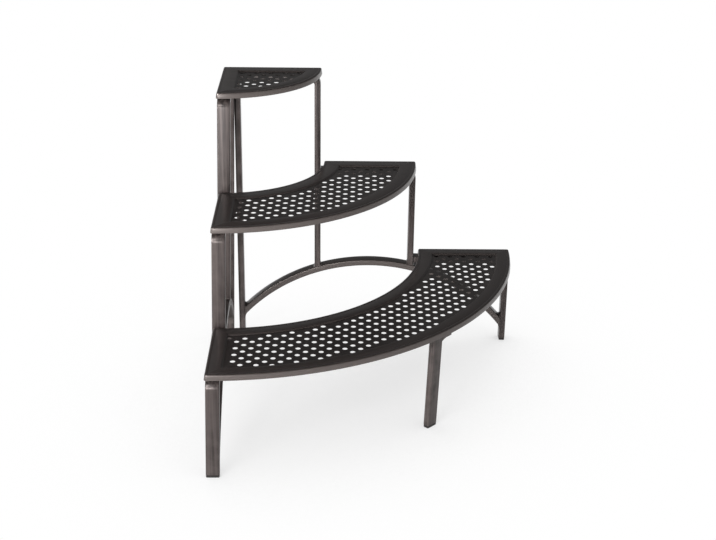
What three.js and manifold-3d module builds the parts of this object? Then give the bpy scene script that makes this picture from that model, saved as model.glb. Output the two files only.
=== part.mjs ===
// Three-step quarter-round plant stand, millimetres, +Z up, feet on Z = 0.
// While it is built, the square corner of the steps is at X = 0, Y = 0: the right arm runs
// along +X, the left arm along -Y. At the end everything moves so that the middle of the
// stand's footprint is the origin.
import * as THREE from 'three';
import Module from 'manifold-3d';
import { mergeGeometries, mergeVertices } from 'three/addons/utils/BufferGeometryUtils.js';

const wasm = await Module();
wasm.setup();

// ---- general fits ---------------------------------------------------------------------
const FIT = 0.3;                // clearance between two pieces that touch or are welded
const QUARTER = Math.PI / 2;

// ---- shelves --------------------------------------------------------------------------
// inner and outer are the radii of a step, z is the height of its top face,
// columns and rows shift the hole pattern of its sheet.
const TOP = {
  name: 'top', z: 607, inner: 0, outer: 203, border: 34, columns: 14.5, rows: 14.7,
};
const MIDDLE = {
  name: 'middle', z: 406.6, inner: 206.6, outer: 401, border: 36, columns: 10.4, rows: 23.4,
};
const BOTTOM = {
  name: 'bottom', z: 208.2, inner: 410, outer: 608, border: 32, columns: 2.2, rows: 25.9,
};
const ARC_SAGITTA = 0.3;        // how far a facet of a round edge may fall inside its circle
const CORNER_RADIUS = 5;        // rounding of a shelf's corners, seen from above
const CORNER_LEAST = 0.8;       // the same on every outline that lies further in
const CORNER_STEPS = 2;
const SHARP_TURN = 0.7;         // a change of direction above this, in radians, is a corner
const SKIRT_HEIGHT = 11.6;      // turned-down edge all round a shelf
const SKIRT_THICKNESS = 1.6;
const EDGE_RADIUS = 3.2;        // rounding from the top face into the skirt
const EDGE_STEPS = 2;
const BORDER_THICKNESS = 2.4;   // flat border, with a sloping inner edge around the sheet
const BORDER_SLOPE = 3;         // width of that sloping inner edge
const SHEET_THICKNESS = 1.2;
const SHEET_LAP = 8;            // part of the sheet that lies under the border
const CUT_DEPTH = 1;            // how far a cutting body runs past the face that it opens
const HOLE_WIDTH = 12;          // six-sided holes, corner to corner along the right arm
const HOLE_SIDES = 6;
const HOLE_COLUMN_STEP = 14.4;  // holes stand in staggered columns along the right arm
const HOLE_ROW_STEP = 13.7;
const HOLE_ROW_SLANT = 0.33;    // each row lies this much further back towards the corner
const HOLE_INSET = 3;           // a hole's middle lies at least this far inside the window
const RIM_WALL = 2.5;           // metal that stays around every hole at the sheet's edge

// ---- rectangular tube of the side frames ----------------------------------------------
const TUBE_WIDTH = 25.4;        // across the plane of a side frame
const TUBE_THICKNESS = 12.7;    // in the plane of a side frame
const TUBE_EDGE = 1.6;          // rounding of the long edges
const BEND_INSIDE = 6;          // inside radius where a rail turns down into its post
const BEND_STEPS = 5;

// ---- side frame, measured along an arm from the corner --------------------------------
const CORNER_POST_START = 22;
const POST_OUTSIDE = { top: 200, middle: 400, bottom: 606.5 };
const ARCH_MIDDLE = 306.5;      // where the arch is highest
const ARCH_APEX = 181.9;        // height of its centre line there
const ARCH_RADIUS = 368.3;
const ARCH_STEPS = 22;
const FRAME_LEAN = 13;          // the foot of a frame stands this much further out than its top
const FRAME_TOE = 13;           // its corner end stands this much further out than its far end
const FRAME_STAND_OFF = 1.6;    // its far foot stands this far outside the edge of the shelves
const LEFT_FRAME_SHIFT = 2.4;   // the left frame stands this far forward, clear of the right one

// ---- middle leg -----------------------------------------------------------------------
const MIDDLE_LEG_GAP = 0.75;    // between the leg's head and the edge of the bottom sheet
const MIDDLE_LEG_ANGLE = 44.1;  // degrees from the right arm
const MIDDLE_LEG_LEAN = 6.8;    // its foot stands this much further left than its head
const BRACKET_REACH = 32;       // bracket beside the leg's head, measured from the leg
const BRACKET_HEIGHT = 21;

// ---- feet -----------------------------------------------------------------------------
const FOOT_HEIGHT = 6;
const FOOT_INSET = 0.3;         // the sides of a foot lie this far inside those of its tube
const FOOT_CHAMFER = 1.5;

const METAL = { color: 0x4b4442, roughness: 0.5, metalness: 0.6 };
const SHEET_METAL = { color: 0x3f3a39, roughness: 0.55, metalness: 0.6 };
const FOOT_PLASTIC = { color: 0x161514, roughness: 0.7, metalness: 0 };

const stand = new THREE.Group();
stand.name = 'tiered_plant_stand';

function addPiece(name, geometry, look) {
  const welded = mergeVertices(stripped(geometry), 1e-4);
  welded.computeVertexNormals();
  const mesh = new THREE.Mesh(welded, new THREE.MeshStandardMaterial(look));
  mesh.name = name;
  stand.add(mesh);
}

function stripped(geometry) {
  const bare = geometry.clone();
  for (const key of Object.keys(bare.attributes)) {
    if (key !== 'position') bare.deleteAttribute(key);
  }
  return bare;
}

function toSolid(geometry) {
  const welded = mergeVertices(stripped(geometry), 1e-4);
  return new wasm.Manifold(new wasm.Mesh({
    numProp: 3,
    vertProperties: new Float32Array(welded.attributes.position.array),
    triVerts: new Uint32Array(welded.index.array),
  }));
}

function fromSolid(solid) {
  const mesh = solid.getMesh();
  const geometry = new THREE.BufferGeometry();
  geometry.setAttribute('position', new THREE.Float32BufferAttribute(mesh.vertProperties, 3));
  geometry.setIndex(Array.from(mesh.triVerts));
  return geometry;
}

// ---- outlines -------------------------------------------------------------------------

function arcSteps(radius) {
  return Math.ceil(QUARTER / (2 * Math.acos(1 - ARC_SAGITTA / radius)));
}

// Points of a quarter circle about the corner, cut off where it comes within `inset` of
// either straight edge; from the right arm to the left arm.
function quarterArc(radius, inset, steps) {
  const start = Math.asin(inset / radius);
  const sweep = QUARTER - 2 * start;
  const points = [];
  for (let i = 0; i <= steps; i += 1) {
    const angle = start + (sweep * i) / steps;
    points.push(new THREE.Vector2(radius * Math.cos(angle), -radius * Math.sin(angle)));
  }
  return points;
}

// Plan of a shelf, drawn in by `inset` on every side; runs clockwise seen from above.
function shelfOutline(shelf, inset) {
  const outer = quarterArc(shelf.outer - inset, inset, arcSteps(shelf.outer));
  const inner = shelf.inner === 0
    ? [new THREE.Vector2(inset, -inset)]
    : quarterArc(shelf.inner + inset, inset, arcSteps(shelf.inner)).reverse();
  return roundedCorners([...outer, ...inner], Math.max(CORNER_RADIUS - inset, CORNER_LEAST));
}

// The outline with its corners rounded; the small steps of its arcs stay as they are.
function roundedCorners(outline, radius) {
  return outline.flatMap((corner, i) => {
    const before = outline[(i + outline.length - 1) % outline.length];
    const after = outline[(i + 1) % outline.length];
    const into = corner.clone().sub(before).normalize();
    const out = after.clone().sub(corner).normalize();
    const turn = Math.acos(THREE.MathUtils.clamp(into.dot(out), -1, 1));
    if (turn < SHARP_TURN) return [corner];
    const start = corner.clone().addScaledVector(into, -radius * Math.tan(turn / 2));
    const side = Math.sign(into.cross(out));
    const across = new THREE.Vector2(-side * into.y, side * into.x);
    return Array.from({ length: CORNER_STEPS + 1 }, (_, step) => {
      const angle = (turn * step) / CORNER_STEPS;
      return start.clone()
        .addScaledVector(into, radius * Math.sin(angle))
        .addScaledVector(across, radius * (1 - Math.cos(angle)));
    });
  });
}

// Closed body through outlines with the same number of points, from the lowest up.
function loft(levels) {
  const count = levels[0].outline.length;
  const positions = [];
  for (const { outline, z } of levels) {
    for (const point of outline) positions.push(point.x, point.y, z);
  }
  const indices = [];
  for (let level = 0; level + 1 < levels.length; level += 1) {
    for (let i = 0; i < count; i += 1) {
      const a = level * count + i;
      const b = level * count + ((i + 1) % count);
      indices.push(a, a + count, b, b, a + count, b + count);
    }
  }
  const top = (levels.length - 1) * count;
  for (const [a, b, c] of capTriangles(levels[0].outline)) indices.push(a, b, c);
  for (const [a, b, c] of capTriangles(levels[levels.length - 1].outline)) {
    indices.push(top + a, top + c, top + b);
  }
  const geometry = new THREE.BufferGeometry();
  geometry.setAttribute('position', new THREE.Float32BufferAttribute(positions, 3));
  geometry.setIndex(indices);
  return geometry;
}

// Triangles of a clockwise outline, each of them clockwise as well.
function capTriangles(outline) {
  const faces = THREE.ShapeUtils.triangulateShape(outline, []);
  return faces.map(([a, b, c]) => {
    const p = outline[a];
    const q = outline[b];
    const r = outline[c];
    const area = (q.x - p.x) * (r.y - p.y) - (q.y - p.y) * (r.x - p.x);
    return area < 0 ? [a, b, c] : [a, c, b];
  });
}

// ---- shelves --------------------------------------------------------------------------

function shelfRim(shelf) {
  const bottom = shelf.z - SKIRT_HEIGHT;
  const shell = [{ outline: shelfOutline(shelf, 0), z: bottom }];
  for (let i = 0; i <= EDGE_STEPS; i += 1) {
    const angle = (QUARTER * i) / EDGE_STEPS;
    const inset = EDGE_RADIUS * (1 - Math.cos(angle));
    const z = shelf.z - EDGE_RADIUS * (1 - Math.sin(angle));
    shell.push({ outline: shelfOutline(shelf, inset), z });
  }
  const hollow = shelfOutline(shelf, SKIRT_THICKNESS);
  const window = shelfOutline(shelf, shelf.border);
  const flare = shelfOutline(shelf, shelf.border - BORDER_SLOPE);
  const underside = shelf.z - BORDER_THICKNESS;
  const body = toSolid(loft(shell))
    .subtract(toSolid(loft([
      { outline: hollow, z: bottom - CUT_DEPTH },
      { outline: hollow, z: underside },
    ])))
    .subtract(toSolid(loft([
      { outline: window, z: underside - CUT_DEPTH },
      { outline: window, z: underside },
      { outline: flare, z: shelf.z },
      { outline: flare, z: shelf.z + CUT_DEPTH },
    ])));
  return fromSolid(body);
}

// True if the middle of a hole lies well inside the shelf's window.
function holeShows(shelf, x, y) {
  const edge = shelf.border + HOLE_INSET;
  const radius = Math.hypot(x, y);
  if (x < edge || -y < edge || radius > shelf.outer - edge) return false;
  return shelf.inner === 0 || radius > shelf.inner + edge;
}

// Corners of the hole with this middle, clockwise seen from above.
function holeOutline(x, y) {
  return Array.from({ length: HOLE_SIDES }, (_, side) => {
    const angle = (-2 * Math.PI * side) / HOLE_SIDES;
    return new THREE.Vector2(
      x + (HOLE_WIDTH / 2) * Math.cos(angle),
      y + (HOLE_WIDTH / 2) * Math.sin(angle),
    );
  });
}

// True if every corner of a hole keeps its wall to the edge of the sheet.
function staysOnSheet(shelf, outline) {
  const edge = shelf.border - SHEET_LAP + RIM_WALL;
  return outline.every((corner) => {
    const radius = corner.length();
    if (corner.x < edge || -corner.y < edge || radius > shelf.outer - edge) return false;
    return shelf.inner === 0 || radius > shelf.inner + edge;
  });
}

function shelfSheet(shelf) {
  const outline = shelfOutline(shelf, shelf.border - SHEET_LAP);
  const face = shelf.z - BORDER_THICKNESS - FIT;
  const back = face - SHEET_THICKNESS;
  const last = Math.ceil(shelf.outer / Math.min(HOLE_COLUMN_STEP, HOLE_ROW_STEP));
  const plugs = [];
  for (let column = 0; column <= last; column += 1) {
    for (let row = column % 2; row <= last; row += 2) {
      const x = column * HOLE_COLUMN_STEP - row * HOLE_ROW_SLANT + shelf.columns;
      const y = -(row * HOLE_ROW_STEP + shelf.rows);
      const hole = holeOutline(x, y);
      if (holeShows(shelf, x, y) && staysOnSheet(shelf, hole)) {
        plugs.push(loft([
          { outline: hole, z: back - CUT_DEPTH },
          { outline: hole, z: face + CUT_DEPTH },
        ]));
      }
    }
  }
  const blank = toSolid(loft([{ outline, z: back }, { outline, z: face }]));
  return fromSolid(blank.subtract(toSolid(mergeGeometries(plugs))));
}

// ---- side frames ----------------------------------------------------------------------

// A tube piece drawn by its side view (distance from the corner, height); its wide sides
// lie in the plane of the drawing.
function framePiece(outline) {
  const piece = new THREE.ExtrudeGeometry(new THREE.Shape(outline), {
    depth: TUBE_WIDTH - 2 * TUBE_EDGE,
    bevelEnabled: true,
    bevelThickness: TUBE_EDGE,
    bevelSize: TUBE_EDGE,
    bevelOffset: -TUBE_EDGE,
    bevelSegments: 1,
    curveSegments: 1,
  });
  return piece.translate(0, 0, TUBE_EDGE).rotateX(QUARTER);
}

function points(pairs) {
  return pairs.map(([along, height]) => new THREE.Vector2(along, height));
}

// Height of the upper (side 1) or lower (side -1) face of the arch at a place on the arm.
function archHeight(along, side, clearance) {
  const radius = ARCH_RADIUS + side * (TUBE_THICKNESS / 2 + clearance);
  return ARCH_APEX - ARCH_RADIUS + Math.sqrt(radius ** 2 - (along - ARCH_MIDDLE) ** 2);
}

function cornerPostOutline() {
  const start = CORNER_POST_START;
  const end = start + TUBE_THICKNESS;
  const head = TOP.z - SKIRT_HEIGHT - FIT;
  return points([[start, FOOT_HEIGHT], [end, FOOT_HEIGHT], [end, head], [start, head]]);
}

// A rail that starts at `start`, runs out under a shelf, turns down and ends on `foot`.
function bentTubeOutline(shelf, start, foot) {
  const outside = POST_OUTSIDE[shelf.name];
  const inside = outside - TUBE_THICKNESS;
  const head = shelf.z - SKIRT_HEIGHT - FIT;
  const centre = [inside - BEND_INSIDE, head - TUBE_THICKNESS - BEND_INSIDE];
  const outline = [[start, head]];
  const bend = (radius, from, to) => {
    for (let i = 0; i <= BEND_STEPS; i += 1) {
      const angle = from + ((to - from) * i) / BEND_STEPS;
      outline.push([centre[0] + radius * Math.sin(angle), centre[1] + radius * Math.cos(angle)]);
    }
  };
  bend(BEND_INSIDE + TUBE_THICKNESS, 0, QUARTER);
  outline.push([outside, foot(outside)]);
  outline.push([inside, foot(inside)]);
  bend(BEND_INSIDE, QUARTER, 0);
  outline.push([start, head - TUBE_THICKNESS]);
  return points(outline.reverse());
}

function archOutline() {
  const start = CORNER_POST_START + TUBE_THICKNESS + FIT;
  const end = POST_OUTSIDE.bottom - TUBE_THICKNESS - FIT;
  const outline = [];
  for (let i = 0; i <= ARCH_STEPS; i += 1) {
    const along = start + ((end - start) * i) / ARCH_STEPS;
    outline.push([along, archHeight(along, -1, 0)]);
  }
  for (let i = ARCH_STEPS; i >= 0; i -= 1) {
    const along = start + ((end - start) * i) / ARCH_STEPS;
    outline.push([along, archHeight(along, 1, 0)]);
  }
  return points(outline);
}

function footBlock(along) {
  const half = TUBE_THICKNESS / 2 - FOOT_INSET;
  const height = FOOT_HEIGHT - FIT;
  const sole = points([
    [along - half, height], [along - half, FOOT_CHAMFER], [along - half + FOOT_CHAMFER, 0],
    [along + half - FOOT_CHAMFER, 0], [along + half, FOOT_CHAMFER], [along + half, height],
  ]);
  const foot = new THREE.ExtrudeGeometry(new THREE.Shape(sole), {
    depth: TUBE_WIDTH - 2 * FOOT_INSET,
    bevelEnabled: false,
  });
  return foot.translate(0, 0, FOOT_INSET).rotateX(QUARTER);
}

// The foot stands out and the corner end stands out: a small slant of the whole frame.
function standOut(geometry) {
  const perLength = -FRAME_TOE / BOTTOM.outer;
  const perHeight = -FRAME_LEAN / TOP.z;
  const offset = FRAME_TOE + FRAME_STAND_OFF;
  return geometry.applyMatrix4(new THREE.Matrix4().set(
    1, 0, 0, 0,
    perLength, 1, perHeight, offset,
    0, 0, 1, 0,
    0, 0, 0, 1,
  ));
}

// Mirror image on the other arm of the corner.
function onLeftArm(geometry) {
  const mirrored = mergeVertices(stripped(geometry), 1e-4).applyMatrix4(new THREE.Matrix4().set(
    0, -1, 0, 0,
    -1, 0, 0, -LEFT_FRAME_SHIFT,
    0, 0, 1, 0,
    0, 0, 0, 1,
  ));
  const index = mirrored.index.array;
  for (let i = 0; i < index.length; i += 3) {
    [index[i + 1], index[i + 2]] = [index[i + 2], index[i + 1]];
  }
  return mirrored;
}

function sideFramePieces() {
  const cornerPostEnd = CORNER_POST_START + TUBE_THICKNESS;
  const onArch = (along) => archHeight(along, 1, FIT);
  const onFoot = () => FOOT_HEIGHT;
  const pieces = {
    corner_post: framePiece(cornerPostOutline()),
    upper_bent_tube: framePiece(bentTubeOutline(TOP, cornerPostEnd + FIT, onArch)),
    middle_bent_tube: framePiece(bentTubeOutline(MIDDLE, POST_OUTSIDE.top + FIT, onArch)),
    end_leg_tube: framePiece(bentTubeOutline(BOTTOM, POST_OUTSIDE.middle + FIT, onFoot)),
    arch_tube: framePiece(archOutline()),
    corner_foot: footBlock(CORNER_POST_START + TUBE_THICKNESS / 2),
    end_foot: footBlock(POST_OUTSIDE.bottom - TUBE_THICKNESS / 2),
  };
  for (const piece of Object.values(pieces)) standOut(piece);
  return pieces;
}

// ---- middle leg -----------------------------------------------------------------------

// Moves a piece from the right frame's axes to the middle leg: its wide side then faces
// away from the corner, and its head stands just outside the bottom sheet.
function atMiddleLeg(geometry) {
  const angle = THREE.MathUtils.degToRad(MIDDLE_LEG_ANGLE);
  const head = BOTTOM.z - BORDER_THICKNESS - FIT;
  const sheetEdge = BOTTOM.outer - BOTTOM.border + SHEET_LAP;
  const radius = sheetEdge + MIDDLE_LEG_GAP + TUBE_THICKNESS / 2;
  geometry.translate(radius, TUBE_WIDTH / 2, 0).rotateZ(-angle);
  return geometry.applyMatrix4(new THREE.Matrix4().set(
    1, 0, MIDDLE_LEG_LEAN / head, -MIDDLE_LEG_LEAN,
    0, 1, 0, 0,
    0, 0, 1, 0,
    0, 0, 0, 1,
  ));
}

function middleLegTube() {
  const half = TUBE_THICKNESS / 2;
  const head = BOTTOM.z - BORDER_THICKNESS - FIT;
  const side = [[-half, FOOT_HEIGHT], [half, FOOT_HEIGHT], [half, head], [-half, head]];
  return atMiddleLeg(framePiece(points(side)));
}

function middleLegBracket() {
  const half = TUBE_THICKNESS / 2;
  const head = BOTTOM.z - BORDER_THICKNESS - FIT;
  const side = points([
    [-half, head - BRACKET_HEIGHT], [half, head - BRACKET_HEIGHT], [half, head], [-half, head],
  ]);
  const bracket = new THREE.ExtrudeGeometry(new THREE.Shape(side), {
    depth: BRACKET_REACH,
    bevelEnabled: false,
  });
  return atMiddleLeg(bracket.rotateX(QUARTER).translate(0, BRACKET_REACH + FIT, 0));
}

// ---- the stand ------------------------------------------------------------------------

for (const shelf of [TOP, MIDDLE, BOTTOM]) {
  addPiece(`${shelf.name}_shelf_rim`, shelfRim(shelf), METAL);
  addPiece(`${shelf.name}_shelf_sheet`, shelfSheet(shelf), SHEET_METAL);
}

for (const [name, piece] of Object.entries(sideFramePieces())) {
  const look = name.endsWith('foot') ? FOOT_PLASTIC : METAL;
  addPiece(`right_${name}`, piece, look);
  addPiece(`left_${name}`, onLeftArm(piece), look);
}

addPiece('middle_leg_tube', middleLegTube(), METAL);
addPiece('middle_leg_bracket', middleLegBracket(), METAL);
addPiece('middle_leg_foot', atMiddleLeg(footBlock(0)), FOOT_PLASTIC);

const size = new THREE.Box3().setFromObject(stand);
const middle = size.getCenter(new THREE.Vector3());
for (const mesh of stand.children) mesh.geometry.translate(-middle.x, -middle.y, -size.min.z);

export default stand;
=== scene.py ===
"""Quarter-round tiered plant stand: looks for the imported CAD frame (metres, Z up)."""

import math

import bmesh
import bpy
from mathutils import Matrix, Vector


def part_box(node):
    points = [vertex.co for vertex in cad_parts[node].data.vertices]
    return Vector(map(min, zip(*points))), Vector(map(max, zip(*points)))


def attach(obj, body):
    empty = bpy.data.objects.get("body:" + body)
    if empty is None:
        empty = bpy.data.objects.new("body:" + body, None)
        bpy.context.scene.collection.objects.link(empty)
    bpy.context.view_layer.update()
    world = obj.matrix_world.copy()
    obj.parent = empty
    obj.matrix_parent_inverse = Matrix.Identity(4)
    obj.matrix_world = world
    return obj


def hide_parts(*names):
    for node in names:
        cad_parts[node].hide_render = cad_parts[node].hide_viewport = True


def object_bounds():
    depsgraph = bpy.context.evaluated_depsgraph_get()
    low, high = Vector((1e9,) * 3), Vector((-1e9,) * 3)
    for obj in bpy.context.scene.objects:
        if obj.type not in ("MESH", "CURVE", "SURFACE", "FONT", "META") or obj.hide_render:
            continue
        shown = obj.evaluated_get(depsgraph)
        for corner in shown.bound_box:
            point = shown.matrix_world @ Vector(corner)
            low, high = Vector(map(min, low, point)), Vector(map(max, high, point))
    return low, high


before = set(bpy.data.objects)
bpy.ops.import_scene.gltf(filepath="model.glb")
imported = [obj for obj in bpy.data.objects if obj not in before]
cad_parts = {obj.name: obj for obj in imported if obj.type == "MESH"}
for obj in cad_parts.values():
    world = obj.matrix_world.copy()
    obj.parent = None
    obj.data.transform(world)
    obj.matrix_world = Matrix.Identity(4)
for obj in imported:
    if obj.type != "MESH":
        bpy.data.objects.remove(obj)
cad_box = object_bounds()
scene = bpy.context.scene
MM = 0.001
QUARTER = math.pi / 2

# ---- camera, fitted to the stand's straight edges in the photograph -------------------------
CAMERA_PLACE = Vector((-0.06889, -2.50880, 1.33197))
CAMERA_YAW = -0.0191
CAMERA_PITCH = 0.3967
CAMERA_ROLL = 0.0130
LENS = 70.235
SENSOR = 36.0

# ---- sizes of the shelves that the frame's boxes do not give ------------------------------
FIT = 0.3 * MM                  # between pieces that are welded or pressed together
BORDER = {"top": 34 * MM, "middle": 36 * MM, "bottom": 32 * MM}     # from edge to window
HOLE_START = {                  # first place of the hole pattern: (along right, left arm)
    "top": (14.5 * MM, 14.7 * MM),
    "middle": (10.4 * MM, 23.4 * MM),
    "bottom": (2.2 * MM, 25.9 * MM),
}
CORNER_RADIUS = 5 * MM          # rounding of a shelf's corners, seen from above
CORNER_LEAST = 0.8 * MM         # the same on outlines that lie further in
CORNER_STEPS = 6
SHARP_TURN = 0.7                # a change of direction above this, in radians, is a corner
ARC_STEP = 9 * MM               # about the length of one facet of a round edge
SKIRT_HEIGHT = 11.6 * MM        # turned-down edge all round a shelf
SKIRT_THICKNESS = 1.6 * MM
SKIRT_DRAFT = 1.1 * MM          # the skirt's top lies this much further in than its lower edge
EDGE_RADIUS = 3.2 * MM          # rounding from the top face into the skirt
EDGE_STEPS = 7
LOWER_EDGE = 0.5 * MM           # rounding of the skirt's lower edge
LOWER_EDGE_STEPS = 3
SKIRT_BACK_EDGE = 0.2 * MM      # chamfer on the hidden side of that edge
BORDER_THICKNESS = 2.4 * MM
BORDER_SLOPE = 3 * MM           # width of the border's sloping inner edge
LIP_PROFILE = (                 # (further in, lower) from where the border starts to slope
    (-0.8 * MM, 0.0),
    (0.0, 0.12 * MM),
    (0.6 * MM, 0.45 * MM),
)
LIP_EDGE = (0.25 * MM, 0.4 * MM)        # chamfer where the slope meets the sheet
CREASE_PLACE = 7.5 * MM         # faint pressed line that runs along the edge of a shelf
CREASE_WIDTH = 1.4 * MM
CREASE_DEPTH = 0.35 * MM
SHEET_THICKNESS = 1.2 * MM
SHEET_LAP = 8 * MM              # part of a sheet that lies under its border
HOLE_RADIUS = 4.9 * MM
HOLE_SIDES = 14
HOLE_EASE = 0.45 * MM           # added to a hole's radius where it meets a face of the sheet
HOLE_EASE_FRONT = 0.8           # depth of that bevel in the upper face, as a share of its width
HOLE_EASE_BACK = 0.5            # the same in the lower face
HOLE_COLUMN_STEP = 14.4 * MM    # holes stand in staggered columns along the right arm
HOLE_ROW_STEP = 13.7 * MM
HOLE_ROW_SLANT = 0.33 * MM      # each row lies this much further back towards the corner
HOLE_INSET = 3 * MM             # a hole's middle lies at least this far inside the window
RIM_WALL = 2.5 * MM             # metal that stays around every hole at the sheet's edge

# ---- sizes of the frames ------------------------------------------------------------------
TUBE_WIDTH = 25.4 * MM          # across the plane of a side frame
TUBE_THICKNESS = 12.7 * MM      # in the plane of a side frame
TUBE_EDGE = 1.9 * MM            # rounding of the long edges
TUBE_EDGE_STEPS = 4
BEND_INSIDE = 6 * MM            # inner radius where a rail turns down into its post
BEND_STEPS = 12
ARCH_MIDDLE = 306.5 * MM        # place of the arch's highest point along the arm
ARCH_APEX = 181.9 * MM          # height of its centre line there
ARCH_RADIUS = 368.3 * MM        # of its centre line
ARCH_STEPS = 72
FRAME_LEAN = 13 * MM            # a frame's top lies this much further in than its foot
FRAME_TOE = 13 * MM             # its far end lies this much further in than its corner end
FRAME_STAND_OFF = 1.6 * MM      # moves the whole frame out of the shelf's edge
FOOT_INSET = 0.3 * MM           # a foot's sides lie this far inside those of its tube
FOOT_EDGE = 1.5 * MM            # rounding of its sole
FOOT_EDGE_STEPS = 4
LEG_ANGLE = math.radians(44.1)  # place of the middle leg, round from the right arm
LEG_GAP = 0.75 * MM             # between the middle leg and the edge of the bottom sheet
LEG_LEAN = 6.8 * MM             # its foot lies this much further left than its head
BRACKET_REACH = 26 * MM         # from the middle leg's side to the bracket's end
BRACKET_HEIGHT = 24.5 * MM      # at the leg
BRACKET_END_HEIGHT = 20 * MM
BRACKET_EDGE = 0.8 * MM         # chamfer along its outline
BRACKET_CURVE_STEPS = 10

# ---- welds --------------------------------------------------------------------------------
FILLET_STEPS = 6                # steps across the hollow face of a weld
WELD_HOLLOW = 0.12              # from 0, a deeply hollow face, to 0.5, a flat one
WELD_END_INSET = 1.2 * MM       # a weld stops this far from the two sides of its tubes
WELD_TAPER = ((0.0, 0.45), (1 * MM, 0.9), (2 * MM, 1.0))    # (from the weld's end, its size)
ARCH_HEAD_WELD = (8 * MM, 6 * MM)       # length along the arch and up the corner post
ARCH_UNDER_WELD = (8 * MM, 9 * MM)      # length along the arch and down the corner post
POST_FOOT_WELD = (3.5 * MM, 4.5 * MM)   # length along the arch and up an inner step's post
RAIL_WELD = (4 * MM, 4 * MM)            # length along a rail and down the corner post

# ---- meshes in general --------------------------------------------------------------------
MERGE_DISTANCE = 1e-6
SMOOTH_ANGLE = 35               # degrees; sharper edges stay crisp
WELD_SMOOTH_ANGLE = 50

# ---- finish: a RANGE is of a noise or a normal, and a SHARE is what it becomes --------------
METALLIC = 0.4
SPECULAR = 0.4
DRIFT_SCALE = 7.0
DRIFT_DETAIL = 4.0
DRIFT_RANGE = (0.3, 0.7)
DRIFT_SHARE = (0.2, 0.7)        # how far the drift goes from the dark to the light colour
STREAKED_DRIFT_SHARE = (0.2, 0.4)
STREAK_STRETCH = (1.0, 1.0, 0.02)       # makes a noise long in height
STREAK_SCALE = 210.0
STREAK_DETAIL = 3.0
STREAK_RANGE = (0.35, 0.65)
STREAK_SHARE = (-0.4, 0.7)      # what streaks add to the drift
GRAIN_SCALE = 520.0
GRAIN_DETAIL = 3.0
GRAIN_DEPTH = 0.3 * MM
SMUDGE_SCALE = 38.0
SMUDGE_DETAIL = 5.0
SMUDGE_ROUGHNESS = 0.6
SMUDGE_RANGE = (0.3, 0.7)
SMUDGE_GLOSS = (-0.02, 0.03)    # what smudges add to the roughness
EDGE_RANGE = (0.53, 0.62)       # pointiness: flat, worn edge
EDGE_PATCH_RANGE = (0.4, 0.62)
EDGE_PATCH_SHARE = (0.15, 0.8)  # how much of the wear is left, from patch to patch
UPRIGHT_SHEEN_RANGE = (0.75, 0.3)     # share of a normal that points up or down: level, upright; sets where the painted sheen on upright faces starts and where it is full

# ---- stage and light ----------------------------------------------------------------------
WORLD_LIGHT = 0.205
FLOOR_SIZE = 40.0
FLOOR_COLOUR = (0.9, 0.9, 0.9, 1)
WHITE = (1, 1, 1, 1)
SHADOW_REACH = 0.5              # how far from the stand the floor starts to show its shadow
SHADOW_RANGE = (0.35, 0.92)     # open share of the sky over the floor: deep in shadow, clear
SHADOW_SHARE = 0.4              # how much of the lit floor, with its real shadow, shows where the painted shade is deepest
SHADOW_SAMPLES = 8
LAMPS = {                       # place, what it points at, size, watts, spread in degrees
    "key": ((-1.7, -2.0, 0.7), (-0.25, -0.1, 0.6), (0.7, 0.7), 5, 40),
    "high": ((-1.3, -2.6, 1.7), (-0.25, -0.1, 0.5), (0.9, 0.9), 4, 45),
    "low": ((-0.6, -2.0, 0.3), (-0.2, -0.2, 0.45), (0.5, 0.4), 13, 180),
    "fill": ((1.9, -2.2, 1.0), (0, 0, 0.3), (1.4, 1.4), 1, 180),
}

# ---- what the frame says ------------------------------------------------------------------
# Places are measured from the square corner of the steps: `along` an arm and `out` of it.
TOP_RIM_LOW, TOP_RIM_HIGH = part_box("top_shelf_rim")
CORNER = Vector((TOP_RIM_LOW.x, TOP_RIM_HIGH.y, 0))
POST_LOW, POST_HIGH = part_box("right_corner_post")
CORNER_POST_START = POST_LOW.x - CORNER.x
CORNER_POST_MIDDLE = CORNER_POST_START + TUBE_THICKNESS / 2
LEFT_SHIFT = CORNER.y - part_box("left_corner_post")[1].y - CORNER_POST_START
FOOT_HEIGHT = POST_LOW.z
STAND_HEIGHT = cad_box[1][2]
ARM_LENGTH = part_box("bottom_shelf_rim")[1].x - CORNER.x


def along_arm(node):
    """Where a node of the right frame starts and ends along its arm."""
    low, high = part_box(node)
    return low.x - CORNER.x, high.x - CORNER.x


class Shelf:
    """Sizes of one step, read from its rim."""

    def __init__(self, name):
        self.name = name
        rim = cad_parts[name + "_shelf_rim"]
        reach = [math.hypot(v.co.x - CORNER.x, v.co.y - CORNER.y) for v in rim.data.vertices]
        self.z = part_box(name + "_shelf_rim")[1].z
        self.outer = max(reach)
        self.inner = 0 if name == "top" else min(reach)
        self.border = BORDER[name]


SHELVES = [Shelf(name) for name in ("top", "middle", "bottom")]
BOTTOM = SHELVES[2]
MIDDLE_LEG_HEAD = BOTTOM.z - BORDER_THICKNESS - FIT
MIDDLE_LEG_RADIUS = BOTTOM.outer - BOTTOM.border + SHEET_LAP + LEG_GAP + TUBE_THICKNESS / 2


def slant(along, height):
    """How far out of the shelf's edge a side frame stands at a place."""
    toe = FRAME_TOE * along / ARM_LENGTH
    lean = FRAME_LEAN * height / STAND_HEIGHT
    return FRAME_TOE + FRAME_STAND_OFF - toe - lean


def on_right_arm(along, out, height):
    """Place in the right frame."""
    return Vector((CORNER.x + along, CORNER.y + out + slant(along, height), height))


def on_left_arm(along, out, height):
    """Place in the left frame, which mirrors the right one and stands a little further forward."""
    return Vector((CORNER.x - out - slant(along, height), CORNER.y - along - LEFT_SHIFT, height))


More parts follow.
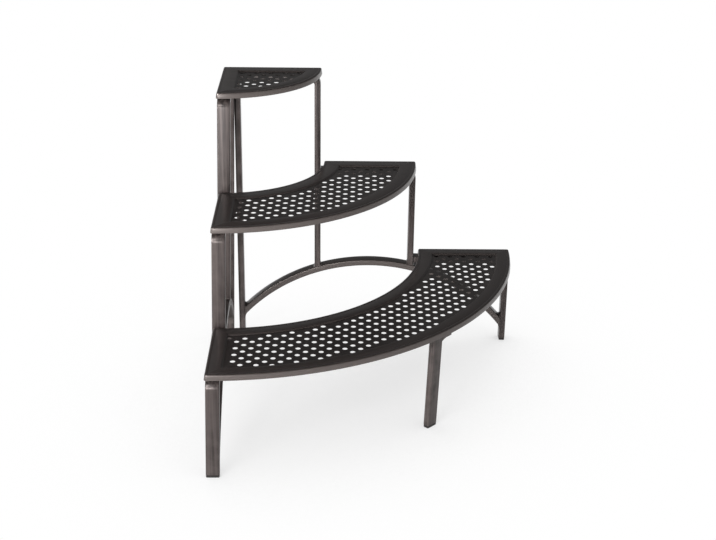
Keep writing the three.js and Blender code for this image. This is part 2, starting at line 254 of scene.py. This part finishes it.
def at_middle_leg(radial, sideways, height):
    """Place near the middle leg: outwards from its axis, and along the shelf towards the right."""
    radius = MIDDLE_LEG_RADIUS + radial
    x = radius * math.cos(LEG_ANGLE) + sideways * math.sin(LEG_ANGLE)
    y = -radius * math.sin(LEG_ANGLE) + sideways * math.cos(LEG_ANGLE)
    lean = LEG_LEAN * (height / MIDDLE_LEG_HEAD - 1)
    return Vector((CORNER.x + x + lean, CORNER.y + y, height))


ARMS = {"right": on_right_arm, "left": on_left_arm}


def arch_height(along, offset=0.0):
    """Height of the arch's centre line, or of the curve `offset` further out from its middle."""
    radius = ARCH_RADIUS + offset
    return ARCH_APEX - ARCH_RADIUS + math.sqrt(radius**2 - (along - ARCH_MIDDLE) ** 2)


def arch_slope(along):
    """Unit direction of the arch at a place, towards its far end: (along, height)."""
    rise = math.sqrt(ARCH_RADIUS**2 - (along - ARCH_MIDDLE) ** 2)
    return Vector((rise, ARCH_MIDDLE - along)).normalized()


# ---- mesh helpers -------------------------------------------------------------------------


def finish_piece(name, bm, material, replaced=(), smooth_angle=SMOOTH_ANGLE):
    """Turns a bmesh into a piece that rides on the stand, in place of the replaced nodes."""
    bmesh.ops.remove_doubles(bm, verts=bm.verts, dist=MERGE_DISTANCE)
    bmesh.ops.recalc_face_normals(bm, faces=bm.faces)
    mesh = bpy.data.meshes.new(name)
    bm.to_mesh(mesh)
    bm.free()
    mesh.shade_smooth()
    mesh.set_sharp_from_angle(angle=math.radians(smooth_angle))
    mesh.materials.append(material)
    piece = bpy.data.objects.new(name, mesh)
    scene.collection.objects.link(piece)
    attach(piece, "root")
    if replaced:
        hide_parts(*replaced)


def skin(bm, rings, closed=False):
    """Quads between rings of points; the ends are capped unless the rings close on themselves."""
    loops = [[bm.verts.new(point) for point in ring] for ring in rings]
    count = len(loops[0])
    following = loops[1:] + loops[:1] if closed else loops[1:]
    for lower, upper in zip(loops, following):
        for i in range(count):
            j = (i + 1) % count
            bm.faces.new((lower[i], lower[j], upper[j], upper[i]))
    if not closed:
        bm.faces.new(loops[0])
        bm.faces.new(loops[-1])


def quarter_turn(steps):
    """Sine and cosine of evenly spaced angles from 0 to 90 degrees."""
    angles = [QUARTER * step / steps for step in range(steps + 1)]
    return [(math.sin(angle), math.cos(angle)) for angle in angles]


# ---- shelves ------------------------------------------------------------------------------


def arc_steps(radius):
    """Number of facets of a quarter round."""
    return math.ceil(QUARTER * radius / ARC_STEP)


def quarter_arc(radius, inset, steps):
    """Points of an arc about the stand's corner, between lines at `inset` from both arms."""
    start = math.asin(inset / radius)
    turn = QUARTER - 2 * start
    angles = [start + turn * i / steps for i in range(steps + 1)]
    return [Vector((radius * math.cos(a), -radius * math.sin(a))) for a in angles]


def rounded_corners(outline, radius):
    """The outline with its corners rounded; the small steps of its arcs stay as they are."""
    rounded = []
    for i, corner in enumerate(outline):
        into = (corner - outline[i - 1]).normalized()
        out = (outline[(i + 1) % len(outline)] - corner).normalized()
        turn = math.acos(max(-1.0, min(1.0, into.dot(out))))
        if turn < SHARP_TURN:
            rounded.append(corner)
            continue
        start = corner - into * radius * math.tan(turn / 2)
        side = math.copysign(1, into.x * out.y - into.y * out.x)
        across = Vector((-into.y, into.x)) * side
        for step in range(CORNER_STEPS + 1):
            angle = turn * step / CORNER_STEPS
            rounded.append(
                start + into * radius * math.sin(angle) + across * radius * (1 - math.cos(angle))
            )
    return rounded


def shelf_outline(shelf, inset):
    """Plan of a shelf, drawn in by `inset` on every side."""
    outer = quarter_arc(shelf.outer - inset, inset, arc_steps(shelf.outer))
    if shelf.inner:
        inner = quarter_arc(shelf.inner + inset, inset, arc_steps(shelf.inner))[::-1]
    else:
        inner = [Vector((inset, -inset))]
    return rounded_corners(outer + inner, max(CORNER_RADIUS - inset, CORNER_LEAST))


def rim_section(border):
    """Section of a rim: (distance from the shelf's edge, depth below its top), closed."""
    section = []
    for sine, cosine in quarter_turn(LOWER_EDGE_STEPS):
        section.append((LOWER_EDGE * (1 - sine), SKIRT_HEIGHT - LOWER_EDGE * (1 - cosine)))
    for sine, cosine in quarter_turn(EDGE_STEPS):
        section.append((SKIRT_DRAFT + EDGE_RADIUS * (1 - cosine), EDGE_RADIUS * (1 - sine)))
    half = CREASE_WIDTH / 2
    section += [(CREASE_PLACE - half, 0), (CREASE_PLACE, CREASE_DEPTH), (CREASE_PLACE + half, 0)]
    section += [(border - BORDER_SLOPE + further, lower) for further, lower in LIP_PROFILE]
    section += [
        (border - LIP_EDGE[0], BORDER_THICKNESS - LIP_EDGE[1]),
        (border, BORDER_THICKNESS),
        (SKIRT_THICKNESS + SKIRT_DRAFT, BORDER_THICKNESS),
        (SKIRT_THICKNESS, SKIRT_HEIGHT - LOWER_EDGE),
        (SKIRT_THICKNESS - SKIRT_BACK_EDGE, SKIRT_HEIGHT),
    ]
    return section


def make_rim(shelf):
    """Border of a shelf: its section carried around its plan."""
    rings = []
    for inset, depth in rim_section(shelf.border):
        z = shelf.z - depth
        rings.append([(CORNER.x + p.x, CORNER.y + p.y, z) for p in shelf_outline(shelf, inset)])
    bm = bmesh.new()
    skin(bm, rings, closed=True)
    node = shelf.name + "_shelf_rim"
    finish_piece(node + "_pressed", bm, METAL, [node])


def hole_places(shelf):
    """Middles of the holes that show in the shelf's window."""
    first_x, first_y = HOLE_START[shelf.name]
    wall = shelf.border - SHEET_LAP + RIM_WALL + HOLE_RADIUS
    edge = max(shelf.border + HOLE_INSET, wall)
    last = math.ceil(shelf.outer / min(HOLE_COLUMN_STEP, HOLE_ROW_STEP))
    for column in range(last + 1):
        for row in range(column % 2, last + 1, 2):
            x = column * HOLE_COLUMN_STEP - row * HOLE_ROW_SLANT + first_x
            y = row * HOLE_ROW_STEP + first_y
            radius = math.hypot(x, y)
            inside = x >= edge and y >= edge and radius <= shelf.outer - edge
            if inside and (shelf.inner == 0 or radius > shelf.inner + edge):
                yield x, -y


def circle(x, y, radius):
    """Plan of a hole."""
    angles = [2 * math.pi * i / HOLE_SIDES for i in range(HOLE_SIDES)]
    return [Vector((x + radius * math.cos(a), y + radius * math.sin(a))) for a in angles]


def make_sheet(shelf):
    """Perforated sheet: two faces filled around their holes, joined by walls with soft edges."""
    bm = bmesh.new()
    top = shelf.z - BORDER_THICKNESS - FIT
    back = top - SHEET_THICKNESS
    holes = list(hole_places(shelf))
    outline = shelf_outline(shelf, shelf.border - SHEET_LAP)

    def loop(points, z):
        return [bm.verts.new((CORNER.x + p.x, CORNER.y + p.y, z)) for p in points]

    def closed_edges(verts):
        return [bm.edges.new((verts[i - 1], verts[i])) for i in range(len(verts))]

    def wall(lower, upper):
        for i in range(len(lower)):
            bm.faces.new((lower[i - 1], lower[i], upper[i], upper[i - 1]))

    def face(z):
        border = loop(outline, z)
        mouths = [loop(circle(x, y, HOLE_RADIUS + HOLE_EASE), z) for x, y in holes]
        edges = closed_edges(border)
        for mouth in mouths:
            edges += closed_edges(mouth)
        bmesh.ops.triangle_fill(bm, use_beauty=True, use_dissolve=False, edges=edges,
                                normal=(0, 0, 1))
        return border, mouths

    top_border, top_mouths = face(top)
    back_border, back_mouths = face(back)
    wall(back_border, top_border)
    for (x, y), top_mouth, back_mouth in zip(holes, top_mouths, back_mouths):
        upper = loop(circle(x, y, HOLE_RADIUS), top - HOLE_EASE * HOLE_EASE_FRONT)
        lower = loop(circle(x, y, HOLE_RADIUS), back + HOLE_EASE * HOLE_EASE_BACK)
        wall(upper, top_mouth)
        wall(lower, upper)
        wall(back_mouth, lower)
    node = shelf.name + "_shelf_sheet"
    finish_piece(node + "_punched", bm, SHEET, [node])


# ---- tubes --------------------------------------------------------------------------------


def tube_section(inset=0.0):
    """Points of a rounded rectangle: (across its thickness, across its width)."""
    thickness = TUBE_THICKNESS - 2 * inset
    width = TUBE_WIDTH - 2 * inset
    points = []
    for side_t, side_w, quarter in ((1, 1, 0), (-1, 1, 1), (-1, -1, 2), (1, -1, 3)):
        for step in range(TUBE_EDGE_STEPS + 1):
            angle = QUARTER * (quarter + step / TUBE_EDGE_STEPS)
            points.append((side_t * (thickness / 2 - TUBE_EDGE) + TUBE_EDGE * math.cos(angle),
                           side_w * (width / 2 - TUBE_EDGE) + TUBE_EDGE * math.sin(angle)))
    return points


def sweep(path, place, foot=None):
    """Rings of a tube along (along, height) points; `foot` gives the heights of its last ring."""
    rings = []
    for i, point in enumerate(path):
        before = path[max(i - 1, 0)]
        after = path[min(i + 1, len(path) - 1)]
        heading = (after - before).normalized()
        normal = Vector((-heading.y, heading.x))
        ring = []
        for t, w in tube_section():
            at = point + normal * t
            if foot and i == len(path) - 1:
                at.y = foot(at.x)
            ring.append(place(at.x, w - TUBE_WIDTH / 2, at.y))
        rings.append(ring)
    return rings


def bent_path(node, foot):
    """Centre line of a rail that runs out under a shelf and turns down into its post."""
    start, end = along_arm("right_" + node)
    post = end - TUBE_THICKNESS / 2
    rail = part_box("right_" + node)[1].z - TUBE_THICKNESS / 2
    radius = BEND_INSIDE + TUBE_THICKNESS / 2
    path = [Vector((start, rail))]
    for sine, cosine in quarter_turn(BEND_STEPS):
        path.append(Vector((post - radius * (1 - sine), rail - radius * (1 - cosine))))
    path.append(Vector((post, foot(post))))
    return path


def arch_rings(place):
    """Rings of the arch; its two ends are cut upright, flat against the posts."""
    start, end = along_arm("right_arch_tube")
    centre = Vector((ARCH_MIDDLE, ARCH_APEX - ARCH_RADIUS))
    rings = []
    for step in range(ARCH_STEPS + 1):
        along = start + (end - start) * step / ARCH_STEPS
        point = Vector((along, arch_height(along)))
        normal = (point - centre).normalized()
        ring = []
        for t, w in tube_section():
            at = point + normal * t
            if at.x < start or at.x > end or step in (0, ARCH_STEPS):
                at.x = start if along < ARCH_MIDDLE else end
                at.y = arch_height(at.x, t)
            ring.append(place(at.x, w - TUBE_WIDTH / 2, at.y))
        rings.append(ring)
    return rings


def make_tube(node, suffix, rings, material):
    """One tube, in place of its node."""
    bm = bmesh.new()
    skin(bm, rings)
    finish_piece(node + suffix, bm, material, [node])


def on_arch(along):
    """Height at which a post ends on the arch."""
    return arch_height(along, TUBE_THICKNESS / 2 + FIT)


def on_foot(along):
    """Height at which a leg ends on its foot, the same at every place."""
    return FOOT_HEIGHT


FRAME_POSTS = {"upper_bent_tube": on_arch, "middle_bent_tube": on_arch, "end_leg_tube": on_foot}
POSTS_ON_ARCH = [node for node, foot in FRAME_POSTS.items() if foot is on_arch]


def make_frame_tubes(side):
    """The five tubes of a side frame."""
    place = ARMS[side]
    for node, foot in FRAME_POSTS.items():
        rings = sweep(bent_path(node, foot), place, foot)
        make_tube(f"{side}_{node}", "_bent", rings, POST_METAL)
    path = [Vector((CORNER_POST_MIDDLE, POST_HIGH.z)), Vector((CORNER_POST_MIDDLE, FOOT_HEIGHT))]
    make_tube(f"{side}_corner_post", "_tube", sweep(path, place), POST_METAL)
    make_tube(f"{side}_arch_tube", "_bent", arch_rings(place), METAL)


# ---- welds --------------------------------------------------------------------------------


def weld(bm, place, corner, first, second):
    """Hollow fillet in the corner between two faces; first and second run along them.

    Its root goes a little way into both tubes.
    """
    into = (first + second) * WELD_HOLLOW
    start = corner + first
    end = corner + second
    bend = corner + into
    profile = [corner - into]
    for step in range(FILLET_STEPS + 1):
        t = step / FILLET_STEPS
        profile.append(start * (1 - t) ** 2 + bend * 2 * t * (1 - t) + end * t**2)
    near = WELD_END_INSET
    far = TUBE_WIDTH - WELD_END_INSET
    cuts = [(near + depth, share) for depth, share in WELD_TAPER]
    cuts += [(far - depth, share) for depth, share in reversed(WELD_TAPER)]
    rings = []
    for out, share in cuts:
        ring = [corner + (point - corner) * share for point in profile]
        rings.append([place(point.x, -out, point.y) for point in ring])
    skin(bm, rings)


def make_frame_welds(side):
    """Welds where the arch, the posts and the rails of a side frame meet."""
    place = ARMS[side]
    down = Vector((0, -1))
    up = Vector((0, 1))
    half = TUBE_THICKNESS / 2
    bm = bmesh.new()
    near, far = along_arm("right_arch_tube")
    for along, turn in ((near, 1), (far, -1)):
        run = arch_slope(along) * turn
        length, height = ARCH_HEAD_WELD
        weld(bm, place, Vector((along, arch_height(along, half))), run * length, up * height)
        length, height = ARCH_UNDER_WELD
        weld(bm, place, Vector((along, arch_height(along, -half))), run * length, down * height)
    length, height = POST_FOOT_WELD
    for node in POSTS_ON_ARCH:
        post_end = along_arm("right_" + node)[1]
        for along, turn in ((post_end, 1), (post_end - TUBE_THICKNESS, -1)):
            corner = Vector((along, arch_height(along, half)))
            weld(bm, place, corner, arch_slope(along) * turn * length, up * height)
    length, height = RAIL_WELD
    for node in FRAME_POSTS:
        low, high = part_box("right_" + node)
        corner = Vector((low.x - CORNER.x, high.z - TUBE_THICKNESS))
        weld(bm, place, corner, Vector((length, 0)), down * height)
    finish_piece(f"{side}_frame_welds", bm, METAL, smooth_angle=WELD_SMOOTH_ANGLE)


# ---- feet ---------------------------------------------------------------------------------


def make_foot(node, spot):
    """Plug foot with a rounded sole; `spot` gives its place from (thickness, width, height)."""
    levels = [(FOOT_INSET, FOOT_HEIGHT - FIT)]
    for sine, cosine in quarter_turn(FOOT_EDGE_STEPS):
        levels.append((FOOT_INSET + FOOT_EDGE * (1 - cosine), FOOT_EDGE * (1 - sine)))
    rings = [[spot(t, w, height) for t, w in tube_section(inset)] for inset, height in levels]
    bm = bmesh.new()
    skin(bm, rings)
    finish_piece(node + "_plug", bm, PLASTIC, [node])


def make_feet():
    """The five feet: two under each side frame and one under the middle leg."""
    end = along_arm("right_end_leg_tube")[1] - TUBE_THICKNESS / 2
    for side, arm in ARMS.items():
        for name, along in (("corner", CORNER_POST_MIDDLE), ("end", end)):
            def spot(t, w, height, arm=arm, along=along):
                return arm(along + t, w - TUBE_WIDTH / 2, height)
            make_foot(f"{side}_{name}_foot", spot)
    make_foot("middle_leg_foot", at_middle_leg)


# ---- middle leg ---------------------------------------------------------------------------


def make_middle_leg():
    """The straight tube under the front of the bottom step."""
    rings = [[at_middle_leg(t, w, z) for t, w in tube_section()]
             for z in (MIDDLE_LEG_HEAD, FOOT_HEIGHT)]
    make_tube("middle_leg_tube", "_welded", rings, POST_METAL)


def make_bracket():
    """Bracket beside the middle leg's head; its lower edge is a hollow curve."""
    near = TUBE_WIDTH / 2 + FIT
    hollow = BRACKET_HEIGHT - BRACKET_END_HEIGHT
    profile = [Vector((near, 0)), Vector((near + BRACKET_REACH, 0))]
    for sine, cosine in quarter_turn(BRACKET_CURVE_STEPS):
        profile.append(Vector((near + BRACKET_REACH * (1 - sine),
                               -BRACKET_HEIGHT + hollow * cosine)))
    middle = sum(profile, Vector((0, 0))) / len(profile)
    half = TUBE_THICKNESS / 2
    rings = []
    for radial, chamfer in ((-half, BRACKET_EDGE), (-half + BRACKET_EDGE, 0),
                            (half - BRACKET_EDGE, 0), (half, BRACKET_EDGE)):
        ring = []
        for point in profile:
            at = point + (middle - point).normalized() * chamfer
            ring.append(at_middle_leg(radial, at.x, MIDDLE_LEG_HEAD + at.y))
        rings.append(ring)
    bm = bmesh.new()
    skin(bm, rings)
    finish_piece("middle_leg_bracket_plate", bm, METAL, ["middle_leg_bracket"])


# ---- node helpers -------------------------------------------------------------------------


class Nodes:
    """A material's node tree, with short ways to add the nodes that the looks need."""

    def __init__(self, name):
        self.material = bpy.data.materials.new(name)
        self.material.use_nodes = True
        self.tree = self.material.node_tree
        self.tree.nodes.clear()
        self.output = self.add("OutputMaterial")

    def add(self, kind):
        """A new shader node."""
        return self.tree.nodes.new("ShaderNode" + kind)

    def link(self, value, socket):
        """Sets a socket to a number, or links an output to it."""
        if isinstance(value, (int, float)):
            socket.default_value = value
        else:
            self.tree.links.new(value, socket)

    def math(self, operation, first, second=0.0):
        """A Math node's result."""
        node = self.add("Math")
        node.operation = operation
        self.link(first, node.inputs[0])
        self.link(second, node.inputs[1])
        return node.outputs["Value"]

    def noise(self, vector, scale, detail, roughness=0.5):
        """Noise between 0 and 1."""
        node = self.add("TexNoise")
        node.inputs["Scale"].default_value = scale
        node.inputs["Detail"].default_value = detail
        node.inputs["Roughness"].default_value = roughness
        self.link(vector, node.inputs["Vector"])
        return node.outputs["Fac"]

    def ranged(self, value, source, target):
        """The value carried from the source range to the target range, and held inside it."""
        node = self.add("MapRange")
        self.link(value, node.inputs["Value"])
        node.inputs["From Min"].default_value = source[0]
        node.inputs["From Max"].default_value = source[1]
        node.inputs["To Min"].default_value = target[0]
        node.inputs["To Max"].default_value = target[1]
        return node.outputs["Result"]

    def mixed(self, share, first, second):
        """A colour between two others; the first is a colour or an output."""
        node = self.add("Mix")
        node.data_type = "RGBA"
        self.link(share, node.inputs["Factor"])
        if isinstance(first, tuple):
            node.inputs["A"].default_value = (*first, 1)
        else:
            self.link(first, node.inputs["A"])
        node.inputs["B"].default_value = (*second, 1)
        return node.outputs["Result"]


# ---- looks --------------------------------------------------------------------------------


def drift_tone(nodes, place, streaks):
    """Share of the light colour: a slow drift, and upright streaks where asked."""
    drift = nodes.noise(place, DRIFT_SCALE, DRIFT_DETAIL)
    if not streaks:
        return nodes.ranged(drift, DRIFT_RANGE, DRIFT_SHARE)
    tone = nodes.ranged(drift, DRIFT_RANGE, STREAKED_DRIFT_SHARE)
    tall = nodes.add("Mapping")
    tall.inputs["Scale"].default_value = STREAK_STRETCH
    nodes.link(place, tall.inputs["Vector"])
    streak = nodes.noise(tall.outputs["Vector"], STREAK_SCALE, STREAK_DETAIL)
    return nodes.math("ADD", tone, nodes.ranged(streak, STREAK_RANGE, STREAK_SHARE))


def wear_and_sheen_share(nodes, smudge, upright_sheen):
    """Share of the wear and sheen colour: wear in patches along edges, and a painted sheen on
    upright faces by the share given.
    """
    geometry = nodes.add("NewGeometry")
    edge = nodes.ranged(geometry.outputs["Pointiness"], EDGE_RANGE, (0.0, 1.0))
    patches = nodes.ranged(smudge, EDGE_PATCH_RANGE, EDGE_PATCH_SHARE)
    patchy = nodes.math("MULTIPLY", edge, patches)
    parts = nodes.add("SeparateXYZ")
    nodes.link(geometry.outputs["Normal"], parts.inputs[0])
    facing_up = nodes.math("ABSOLUTE", parts.outputs["Z"])
    # Painted sheen: upright faces take the light colour by a share, whatever their wear.
    painted_sheen = nodes.ranged(facing_up, UPRIGHT_SHEEN_RANGE, (0.0, upright_sheen))
    return nodes.math("MAXIMUM", patchy, painted_sheen)


def finish_with_wear_and_sheen(name, dark, light, wear_and_sheen_colour, roughness, bump, streaks=False, upright_sheen=0.0):
    """Dark finish: slow tone drift, fine grain, wear along edges, smudges and upright streaks, and
    where asked a painted sheen that makes upright faces lighter.
    """
    nodes = Nodes(name)
    place = nodes.add("TexCoord").outputs["Object"]
    smudge = nodes.noise(place, SMUDGE_SCALE, SMUDGE_DETAIL, SMUDGE_ROUGHNESS)
    colour = nodes.mixed(drift_tone(nodes, place, streaks), dark, light)
    colour = nodes.mixed(wear_and_sheen_share(nodes, smudge, upright_sheen), colour, wear_and_sheen_colour)
    gloss = [roughness + change for change in SMUDGE_GLOSS]
    relief = nodes.add("Bump")
    relief.inputs["Strength"].default_value = bump
    relief.inputs["Distance"].default_value = GRAIN_DEPTH
    nodes.link(nodes.noise(place, GRAIN_SCALE, GRAIN_DETAIL), relief.inputs["Height"])
    shader = nodes.add("BsdfPrincipled")
    shader.inputs["Metallic"].default_value = METALLIC
    shader.inputs["Specular IOR Level"].default_value = SPECULAR
    nodes.link(colour, shader.inputs["Base Color"])
    nodes.link(nodes.ranged(smudge, SMUDGE_RANGE, gloss), shader.inputs["Roughness"])
    nodes.link(relief.outputs["Normal"], shader.inputs["Normal"])
    nodes.link(shader.outputs["BSDF"], nodes.output.inputs["Surface"])
    return nodes.material


# Rims, arch, welds and bracket: besides wear along edges, their upright faces, the skirts most of
# all, are painted lighter as a sheen.
METAL = finish_with_wear_and_sheen(
    "painted_metal", dark=(0.044, 0.036, 0.034), light=(0.058, 0.048, 0.045),
    wear_and_sheen_colour=(0.18, 0.155, 0.145), roughness=0.30, bump=0.2, upright_sheen=0.42,
)
POST_METAL = finish_with_wear_and_sheen(
    "painted_metal.posts", dark=(0.027, 0.021, 0.020), light=(0.084, 0.068, 0.064),
    wear_and_sheen_colour=(0.12, 0.10, 0.095), roughness=0.30, bump=0.12, streaks=True,
)
SHEET = finish_with_wear_and_sheen(
    "perforated_sheet", dark=(0.024, 0.019, 0.018), light=(0.034, 0.028, 0.027),
    wear_and_sheen_colour=(0.08, 0.068, 0.064), roughness=0.38, bump=0.25,
)
PLASTIC = finish_with_wear_and_sheen(
    "foot_plastic", dark=(0.020, 0.018, 0.017), light=(0.028, 0.025, 0.024),
    wear_and_sheen_colour=(0.06, 0.055, 0.05), roughness=0.55, bump=0.2,
)


# ---- stage and light ----------------------------------------------------------------------


def make_camera():
    """Camera at the photograph's place and angle."""
    ahead = Vector((-math.sin(CAMERA_YAW), math.cos(CAMERA_YAW), 0))
    side = Vector((math.cos(CAMERA_YAW), math.sin(CAMERA_YAW), 0))
    zenith = Vector((0, 0, 1))
    forward = ahead * math.cos(CAMERA_PITCH) - zenith * math.sin(CAMERA_PITCH)
    upward = ahead * math.sin(CAMERA_PITCH) + zenith * math.cos(CAMERA_PITCH)
    right = side * math.cos(CAMERA_ROLL) + upward * math.sin(CAMERA_ROLL)
    up = upward * math.cos(CAMERA_ROLL) - side * math.sin(CAMERA_ROLL)
    data = bpy.data.cameras.new("camera")
    data.lens = LENS
    data.sensor_width = SENSOR
    data.sensor_fit = "HORIZONTAL"
    camera = bpy.data.objects.new("camera", data)
    scene.collection.objects.link(camera)
    turn = Matrix((right, up, -forward)).transposed()
    camera.matrix_world = Matrix.Translation(CAMERA_PLACE) @ turn.to_4x4()
    scene.camera = camera


def make_world():
    """Plain dim surroundings."""
    world = bpy.data.worlds.new("world")
    scene.world = world
    world.use_nodes = True
    nodes = world.node_tree.nodes
    nodes.clear()
    light = nodes.new("ShaderNodeBackground")
    light.inputs["Color"].default_value = WHITE
    light.inputs["Strength"].default_value = WORLD_LIGHT
    out = nodes.new("ShaderNodeOutputWorld")
    world.node_tree.links.new(light.outputs[0], out.inputs["Surface"])


def floor_material():
    """Pale floor that is seen as white, apart from painted shade near the stand, where an
    occlusion mask lets the lit floor and its real shadow show.
    """
    nodes = Nodes("floor")
    pale = nodes.add("BsdfDiffuse")
    pale.inputs["Color"].default_value = FLOOR_COLOUR
    white = nodes.add("Emission")
    white.inputs["Strength"].default_value = 1.0
    rays = nodes.add("LightPath")
    seen = nodes.math("MAXIMUM", rays.outputs["Is Camera Ray"], rays.outputs["Is Glossy Ray"])
    seen = nodes.math("MAXIMUM", seen, rays.outputs["Is Transmission Ray"])
    # The occlusion mask paints shade near the stand: there the lit floor, with its real shadow,
    # shows in place of white.
    open_air = nodes.add("AmbientOcclusion")
    open_air.samples = SHADOW_SAMPLES
    open_air.inputs["Distance"].default_value = SHADOW_REACH
    open_share = nodes.ranged(open_air.outputs["AO"], SHADOW_RANGE, (1 - SHADOW_SHARE, 1.0))
    mix = nodes.add("MixShader")
    nodes.link(nodes.math("MULTIPLY", seen, open_share), mix.inputs["Fac"])
    nodes.link(pale.outputs[0], mix.inputs[1])
    nodes.link(white.outputs[0], mix.inputs[2])
    nodes.link(mix.outputs[0], nodes.output.inputs["Surface"])
    return nodes.material


def make_floor():
    """Plain square floor under the stand."""
    half = FLOOR_SIZE / 2
    corners = [(-half, -half, 0), (half, -half, 0), (half, half, 0), (-half, half, 0)]
    mesh = bpy.data.meshes.new("floor")
    mesh.from_pydata(corners, [], [(0, 1, 2, 3)])
    mesh.materials.append(floor_material())
    floor = bpy.data.objects.new("floor", mesh)
    scene.collection.objects.link(floor)


def area_light(name, place, target, size, power, spread):
    """Soft lamp that points at a place on the stand."""
    data = bpy.data.lights.new(name, "AREA")
    data.spread = math.radians(spread)
    data.shape = "RECTANGLE"
    data.size, data.size_y = size
    data.energy = power
    lamp = bpy.data.objects.new(name, data)
    scene.collection.objects.link(lamp)
    lamp.location = place
    lamp.rotation_mode = "QUATERNION"
    lamp.rotation_quaternion = (Vector(target) - Vector(place)).to_track_quat("-Z", "Y")


# ---- the scene ----------------------------------------------------------------------------

make_camera()
for shelf in SHELVES:
    make_rim(shelf)
    make_sheet(shelf)
for side in ARMS:
    make_frame_tubes(side)
    make_frame_welds(side)
make_middle_leg()
make_bracket()
make_feet()
make_world()
make_floor()
for name, settings in LAMPS.items():
    area_light(name, *settings)
scene.view_settings.view_transform = "Standard"
